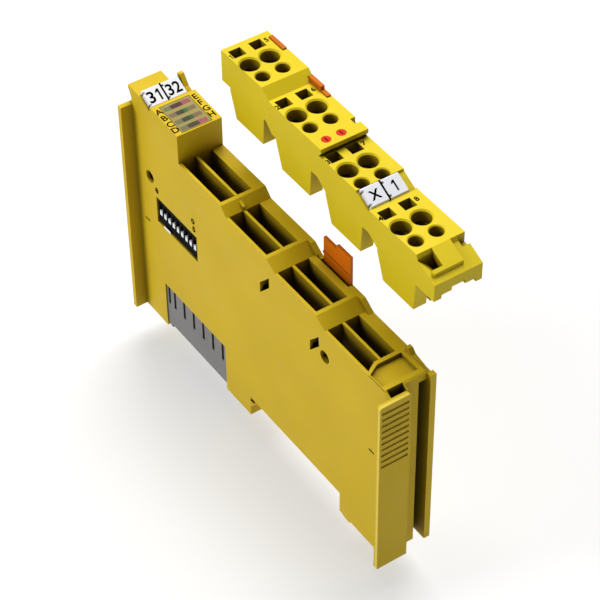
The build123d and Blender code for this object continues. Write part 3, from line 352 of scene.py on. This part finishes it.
# The head's top slopes a little; its print lies on that slope
HEAD_FRONT = 79.75
HEAD_FRONT_TOP = 58.8
HEAD_BACK = 100.0
HEAD_BACK_TOP = 60.1
HEAD_SLOPE = (HEAD_BACK_TOP - HEAD_FRONT_TOP) / (HEAD_BACK - HEAD_FRONT)
HEAD_FACE = (ACROSS, Vector((0.0, 1.0, HEAD_SLOPE)))
# The tags tilt towards the grip end
TAG_TILT = math.radians(27.0)
TAG_UP = Vector((0.0, math.cos(TAG_TILT), math.sin(TAG_TILT)))
TAG_FACE = (ACROSS, TAG_UP)
PLUG_FACE = (ACROSS, Vector((0.0, 1.0, 0.0)))
SIDE_FACE = (Vector((0.0, -1.0, 0.0)), Vector((0.0, 0.0, 1.0)))


def add_print(name, mesh, body, skin):
    """Adds a finished mark, which moves with its body."""
    mesh.materials.clear()
    mesh.materials.append(skin)
    made = bpy.data.objects.new(name, mesh)
    bpy.context.scene.collection.objects.link(made)
    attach(made, body)


def put_mark(name, corners, body, skin=ink):
    """A flat printed patch with the given corners."""
    mesh = bpy.data.meshes.new(name)
    mesh.from_pydata([tuple(c) for c in corners], [], [tuple(range(len(corners)))])
    add_print(name, mesh, body, skin)


def put_one(name, middle, face, height, body):
    """The digit one, with its flag."""
    right, up = (axis.normalized() for axis in face)
    outer = 0.5 * ONE_WIDE
    inner = outer - ONE_STROKE
    shape = ((inner, -0.5), (outer, -0.5), (outer, 0.5), (inner, 0.5),
             (-outer, ONE_FLAG), (-outer, ONE_FLAG - ONE_STROKE), (inner, 0.5 - 1.5 * ONE_STROKE))
    start = middle + right.cross(up) * PRINT_LIFT
    put_mark(name, [start + (right * x + up * y) * height for x, y in shape], body)


def put_text(words, name, middle, face, height, body, bold=0.0, stretch=1.0):
    """Flat lettering turned into a mesh and laid on a face."""
    if words == "1":
        put_one(name, middle, face, height, body)
        return
    curve = bpy.data.curves.new(name, "FONT")
    curve.body = words
    curve.align_x = "CENTER"
    curve.align_y = "CENTER"
    curve.offset = bold
    curve.resolution_u = CURVE_STEPS
    shape = bpy.data.objects.new(name + "_curve", curve)
    bpy.context.scene.collection.objects.link(shape)
    bpy.context.view_layer.update()
    mesh = bpy.data.meshes.new_from_object(shape)
    bpy.data.objects.remove(shape)
    xs = [v.co.x for v in mesh.vertices]
    ys = [v.co.y for v in mesh.vertices]
    centre = Vector(((min(xs) + max(xs)) / 2, (min(ys) + max(ys)) / 2, 0.0))
    scale = height / (max(ys) - min(ys))
    right, up = (axis.normalized() for axis in face)
    start = middle + right.cross(up) * PRINT_LIFT
    for v in mesh.vertices:
        local = (v.co - centre) * scale
        v.co = start + right * local.x * stretch + up * local.y
    add_print(name, mesh, body, ink)


# Plain letters beside the window, in two columns of four
LETTER_COLUMNS = (("ABCD", 0.88, (88.5, 86.2, 83.8, 81.7)), ("EFGH", 10.35, (88.6, 86.4, 84.1, 81.9)))
LETTER_HEIGHT = 1.75 * MM
LETTER_BOLD = 0.02


def head_point(x, y):
    """A point on the head's slope."""
    return place(x, y, HEAD_FRONT_TOP + HEAD_SLOPE * (y - HEAD_FRONT))


for letters, x, rows in LETTER_COLUMNS:
    for letter, y in zip(letters, rows):
        put_text(letter, f"print_{letter}", head_point(x, y), HEAD_FACE, LETTER_HEIGHT, "module", LETTER_BOLD)

# A patch in the row's own tones between the two fields of each row, and the window's thin frame
FIELD_ROWS = (88.4, 86.0, 83.5, 81.2)
FIELD_HALF = 0.675
FIELD_JOINT = (5.25, 5.65)
FRAME_X = (1.7, 9.4)
FRAME_Y = (80.2, 89.7)
FRAME_HALF = 0.065


def head_mark(name, x, y, skin):
    """A patch on the head's slope between two values of x and of y."""
    corners = [corner + Vector((0.0, 0.0, PRINT_LIFT)) for corner in rectangle(head_point, x, y)]
    put_mark(name, corners, "module", skin)


for number, (row, skin) in enumerate(zip(FIELD_ROWS, fields), 1):
    head_mark(f"field_joint_{number}", FIELD_JOINT, band(row, FIELD_HALF), skin)
sides = [(band(x, FRAME_HALF), FRAME_Y) for x in FRAME_X]
sides += [(FRAME_X, band(y, FRAME_HALF)) for y in FRAME_Y]
for number, (x, y) in enumerate(sides, 1):
    head_mark(f"window_frame_{number}", x, y, frame_brown)

# Two pairs of tags: the lower left corner of the first tag, where it is measured, and the pair's body
HEAD_TAGS = ((0.5, 90.9, 59.1), place, "module")
PLUG_TAGS = ((0.6, 25.2, 53.55), plug_place, "connector")
TAG_HALF = 2.35
TAG_WIDTH = 4.5
TAG_PITCH = 4.85
TAG_GAP_SHADOW_HALF = 0.22
DIGIT_HEIGHT = 2.9 * MM
DIGIT_SHIFT = 0.95
# Words, name, pair, tag, shift across, share of the digits' height, boldness and stretch
TAG_PRINT = (
    ("3", "print_tag_1", HEAD_TAGS, 0, -DIGIT_SHIFT, 1.0, 0.02, 1.05),
    ("1", "print_tag_2", HEAD_TAGS, 0, DIGIT_SHIFT, 1.0, 0.0, 1.0),
    ("32", "print_tag_3", HEAD_TAGS, 1, 0.0, 1.0, 0.02, 0.95),
    ("X", "print_plug_tag_1", PLUG_TAGS, 0, 0.0, 0.75, 0.03, 1.0),
    ("1", "print_plug_tag_2", PLUG_TAGS, 1, 0.0, 0.88, 0.0, 1.0),
)


def tag_middle(tags, number, shift=0.0):
    """The middle of a tag's face; number 0.5 is the gap between the two."""
    (x, y, z), where, _ = tags
    return where(x + TAG_PITCH * number + TAG_WIDTH / 2 + shift, y, z) + TAG_UP * TAG_HALF * MM


def tag_gap(name, tags):
    """A painted shadow in ink over the gap between two tags."""
    middle = tag_middle(tags, 0.5) + ACROSS.cross(TAG_UP) * PRINT_LIFT
    side = ACROSS * TAG_GAP_SHADOW_HALF * MM
    reach = TAG_UP * TAG_HALF * MM
    corners = rectangle(lambda across, along: middle + side * across + reach * along, (-1, 1), (-1, 1))
    put_mark(name, corners, tags[2])


for words, name, tags, number, shift, share, bold, stretch in TAG_PRINT:
    middle = tag_middle(tags, number, shift)
    put_text(words, name, middle, TAG_FACE, share * DIGIT_HEIGHT, tags[2], bold, stretch)
# Painted shadow in ink over the gap between each pair of tags
tag_gap("gap_shadow_head", HEAD_TAGS)
tag_gap("gap_shadow_plug", PLUG_TAGS)

# Terminal numbers beside the square holes: on each level a near one and a far one, four higher
LEVEL_SHIFT = (0.0, 17.6, 35.95, 54.3)
LEVEL_DROP = 2.05
PLUG_TOP = 59.32
TOOL_Y = 76.8
NUMBER_PLACES = ((1, 0.4, -0.5), (5, 9.9, 0.25))
NUMBER_HEIGHT = 1.4 * MM
NUMBER_BOLD = 0.03
for level, level_shift in enumerate(LEVEL_SHIFT):
    for first, x, shift in NUMBER_PLACES:
        number = first + level
        middle = plug_place(x, TOOL_Y - level_shift + shift, PLUG_TOP - LEVEL_DROP * level)
        put_text(str(number), f"print_number_{number}", middle, PLUG_FACE, NUMBER_HEIGHT, "connector",
                 NUMBER_BOLD)

# On the near side: two short dashes, a painted shadow along the catch ledge's edge, and numbers and a pointer
# beside the switch
SIDE_OUT = -0.02
DASHES = ((95.3, 23.64), (6.83, 23.7))
DASH_HALF_LONG = 0.95
DASH_HALF_THICK = 0.21
LEDGE_SHADOW_Y = (8.25, 2.75)
LEDGE_SHADOW_Z = (44.96, 45.12)
POINTER_Y = (88.0, 85.2)
POINTER_Z = (26.25, 26.9)
SWITCH_PRINT = (("8", 90.2, 35.9), ("0", 74.9, 37.8), ("5", 74.65, 35.6))
SWITCH_HEIGHT = 1.5 * MM
SWITCH_BOLD = 0.04
SWITCH_STRETCH = 1.35


def side_point(y, z):
    """A point just off the near side face."""
    return place(SIDE_OUT, y, z)


for number, (y, z) in enumerate(DASHES, 1):
    low, high = band(y, DASH_HALF_LONG)
    put_mark(f"print_dash_{number}", rectangle(side_point, (high, low), band(z, DASH_HALF_THICK)), "module")
# Painted shadow in ink along the near wall's top edge beside the catch ledge
put_mark("ledge_edge_shadow", rectangle(side_point, LEDGE_SHADOW_Y, LEDGE_SHADOW_Z), "module")
for number, (words, y, z) in enumerate(SWITCH_PRINT, 1):
    put_text(words, f"print_switch_{number}", side_point(y, z), SIDE_FACE, SWITCH_HEIGHT, "module",
             SWITCH_BOLD, SWITCH_STRETCH)
put_mark("switch_pointer", rectangle(side_point, POINTER_Y, POINTER_Z), "module", white)

# Floor and backdrop in one pale sheet that glows a little, below the module's lowest point
FLOOR_DROP = 8.0 * MM
FLOOR_REACH = 4.0
FLOOR_GLOW = 0.47
floor_z = cad_box[0][2] - FLOOR_DROP
floor_mesh = bpy.data.meshes.new("floor")
FLOOR_SPAN = (-FLOOR_REACH, FLOOR_REACH)
floor_mesh.from_pydata(rectangle(lambda x, y: (x, y, floor_z), FLOOR_SPAN, FLOOR_SPAN), [], [(0, 1, 2, 3)])
floor = bpy.data.objects.new("floor", floor_mesh)
bpy.context.scene.collection.objects.link(floor)
pale = Nodes("studio_floor")
pale.shade("Base Color", pale.tint(pale.noise(6.0, 2.0), (0.42, 0.42, 0.42), (0.45, 0.45, 0.45)))
pale.shade("Roughness", 0.9)
pale.shade("Specular IOR Level", 0.1)
pale.shade("Emission Color", (1.0, 1.0, 1.0, 1.0))
pale.shade("Emission Strength", FLOOR_GLOW)
floor_mesh.materials.append(pale.material)

# Soft studio light: a large lamp high behind the module, a smaller one on its near side, a faint white room
world = bpy.data.worlds.new("studio")
bpy.context.scene.world = world
world.use_nodes = True
room = world.node_tree.nodes["Background"]
room.inputs["Color"].default_value = (1.0, 1.0, 1.0, 1.0)
room.inputs["Strength"].default_value = 0.07

# Name, place, size and power of each square lamp; both face the same point on the module
LAMPS = (
    ("top_light", (0.6, 0.55, 1.78), 1.4, 50.0),
    ("near_side_light", (-1.7, 0.95, 1.2), 1.0, 31.0),
)
LAMP_TARGET = (0.0, 0.015, 0.03)
for name, at, size, power in LAMPS:
    light = bpy.data.lights.new(name, "AREA")
    light.shape = "SQUARE"
    light.size = size
    light.energy = power
    lamp = bpy.data.objects.new(name, light)
    lamp.location = at
    lamp.rotation_euler = (Vector(LAMP_TARGET) - Vector(at)).to_track_quat("-Z", "Y").to_euler()
    bpy.context.scene.collection.objects.link(lamp)

camera_data = bpy.data.cameras.new("camera")
camera_data.sensor_width = SENSOR_MM
camera_data.lens = LENS_MM
camera_data.clip_start = CLIP_NEAR
camera_data.clip_end = CLIP_FAR
camera = bpy.data.objects.new("camera", camera_data)
azimuth = math.radians(CAMERA_AZIMUTH)
elevation = math.radians(CAMERA_ELEVATION)
back = Vector((math.sin(azimuth) * math.cos(elevation), -math.cos(azimuth) * math.cos(elevation),
               math.sin(elevation)))
turn = back.to_track_quat("Z", "Y").to_matrix().to_4x4()
roll = Matrix.Rotation(math.radians(CAMERA_ROLL), 4, "Z")
camera.matrix_world = Matrix.Translation((CAMERA_PLACE - ORIGIN) * MM) @ turn @ roll
bpy.context.scene.collection.objects.link(camera)
bpy.context.scene.camera = camera
bpy.context.scene.view_settings.view_transform = "Standard"
